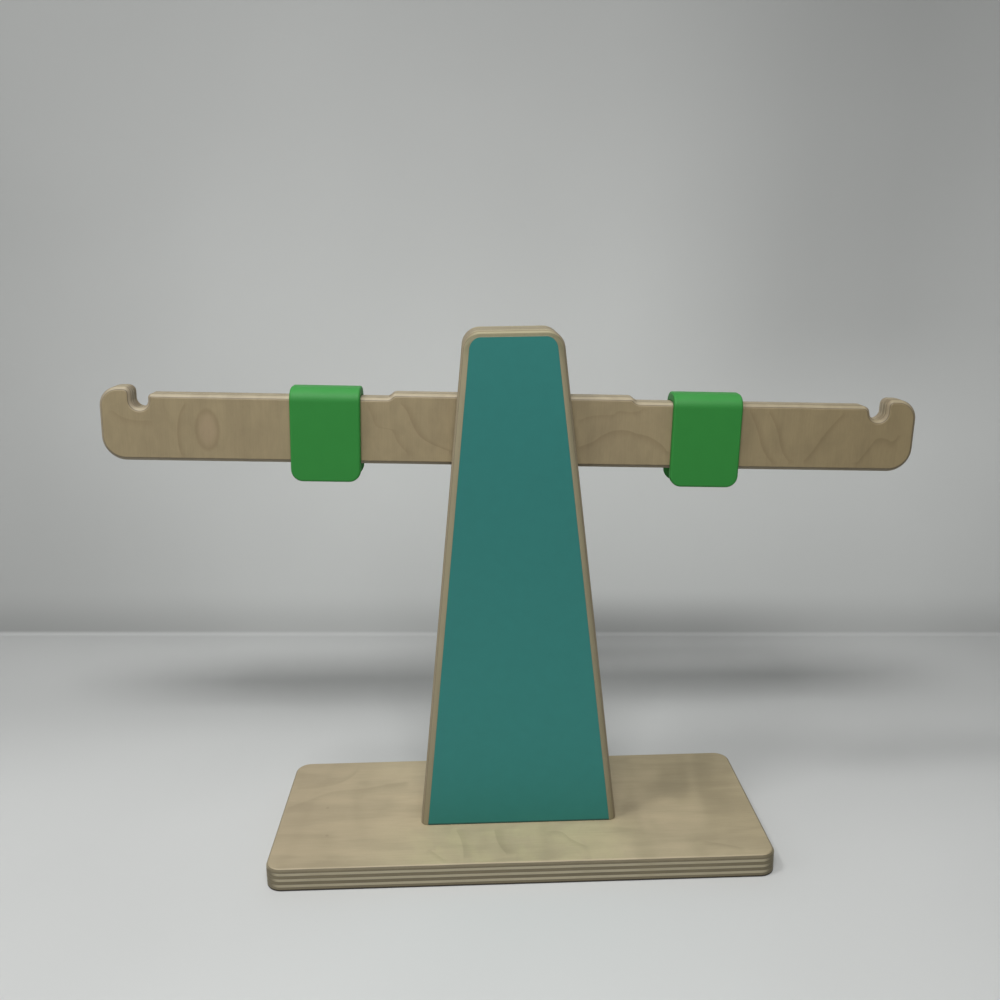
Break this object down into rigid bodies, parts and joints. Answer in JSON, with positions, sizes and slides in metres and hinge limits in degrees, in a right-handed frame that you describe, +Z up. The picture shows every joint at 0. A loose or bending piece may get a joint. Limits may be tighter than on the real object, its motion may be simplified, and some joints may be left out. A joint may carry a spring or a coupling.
{
  "type": "wooden balance scale toy",
  "caption": "Child's wooden balance scale: a plywood tower carries a tilting beam with open hook notches and soft sliding trim weights.",
  "frame": {"origin": "middle of the base board's underside, on the floor, under the pivot", "axes": "+X along the beam to the end with the lower rest position, +Y towards the back panel, +Z up"},
  "size_m": [0.3918, 0.104, 0.2641],
  "materials": {
    "plywood": "fine sanded birch plywood under a thin matt clear oil, its plies bare at the edges",
    "dowel": "plain turned beech, unfinished",
    "teal_sheet": "matt teal laminate sheet, very slightly mottled",
    "silicone": "moulded green silicone, satin, with soft edges",
    "steel": "plain zinc-plated steel",
    "bush": "natural white acetal, turned"
  },
  "bodies": {
    "stand": {"base_board": "plywood", "front_panel": "plywood", "rear_panel": "plywood", "front_facing": "teal_sheet", "rear_facing": "teal_sheet", "top_spacer": "plywood", "bottom_spacer": "plywood", "tower_dowels": "dowel", "base_dowels": "dowel", "base_screws": "steel", "pivot_pin": "steel"},
    "beam": {"beam": "plywood", "front_bush": "bush", "rear_bush": "bush"},
    "left_rider": {"left_rider": "silicone"},
    "right_rider": {"right_rider": "silicone"}
  },
  "joints": [
    {"name": "beam_tilt", "type": "hinge", "parent": "stand", "child": "beam", "pos_m": [0, 0, 0.2258], "axis": [0, 1, 0], "range_deg": [-14.05, 9.95]},
    {"name": "left_rider_slide", "type": "slide", "parent": "beam", "child": "left_rider", "axis": [0.9994, 0, -0.0358], "range_m": [-0.0745, 0.0116]},
    {"name": "right_rider_slide", "type": "slide", "parent": "beam", "child": "right_rider", "axis": [0.9994, 0, -0.0358], "range_m": [-0.0154, 0.0707]}
  ]
}
